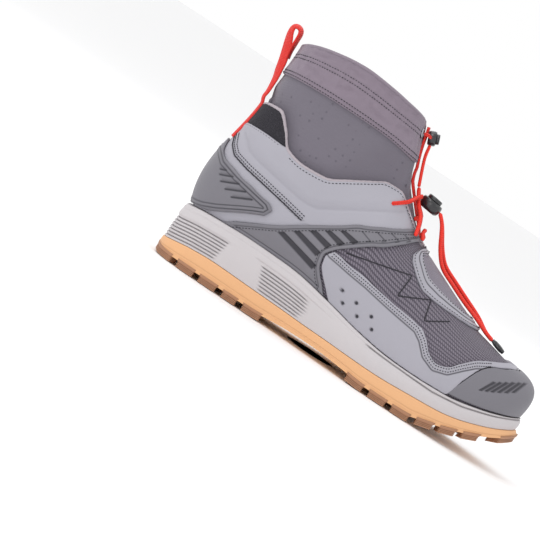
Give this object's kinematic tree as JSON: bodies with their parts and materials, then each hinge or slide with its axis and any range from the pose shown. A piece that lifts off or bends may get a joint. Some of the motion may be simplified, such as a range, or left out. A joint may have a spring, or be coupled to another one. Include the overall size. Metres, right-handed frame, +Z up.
{
  "type": "wading boot",
  "caption": "Hollow mid-height wading boot with a soft inner bootie, drawcord cuff, lace cord locks, ribbed midsole and a lugged gum sole.",
  "frame": {"origin": "centre of the heel's flat tread pad, on the floor plane", "axes": "+X forward to the toe, +Y to the inner side of the right foot, +Z up"},
  "size_m": [0.3056, 0.1079, 0.1966],
  "materials": {
    "gum_rubber": "matte",
    "foam": "matte",
    "pale_overlay": "satin",
    "dark_overlay": "satin",
    "mesh": "matte",
    "soft_shell": "matte",
    "red_cord": "matte",
    "black_plastic": "gloss",
    "grey_metal": "satin"
  },
  "bodies": {
    "root": {"outsole": "gum_rubber", "midsole": "foam", "insole": "soft_shell", "upper": "mesh", "inner_bootie": "soft_shell", "sock_board": "soft_shell", "cuff": "soft_shell", "strap_lateral": "dark_overlay", "strap_medial": "dark_overlay", "heel_counter": "dark_overlay", "toe_cap": "dark_overlay", "rand": "pale_overlay", "lace_pocket": "pale_overlay", "pocket_window": "mesh", "front_webbing": "red_cord", "pull_loop": "red_cord", "cord_lock_body": "black_plastic", "cord_lock_button": "black_plastic", "cuff_lock_body": "black_plastic", "cuff_lock_button": "black_plastic", "lace_run_lateral": "red_cord", "lace_run_medial": "red_cord", "lace_over": "red_cord", "lace_bar_inner": "red_cord", "lace_bar_base": "red_cord", "lace_tail_outer": "red_cord", "lace_tail_inner": "red_cord", "lace_end_clip": "black_plastic", "cuff_eyelet_lateral": "grey_metal", "cuff_eyelet_medial": "grey_metal", "drawcord_top_lateral": "red_cord", "drawcord_top_medial": "red_cord", "drawcord_lateral": "red_cord", "drawcord_medial": "red_cord"}
  },
  "joints": []
}
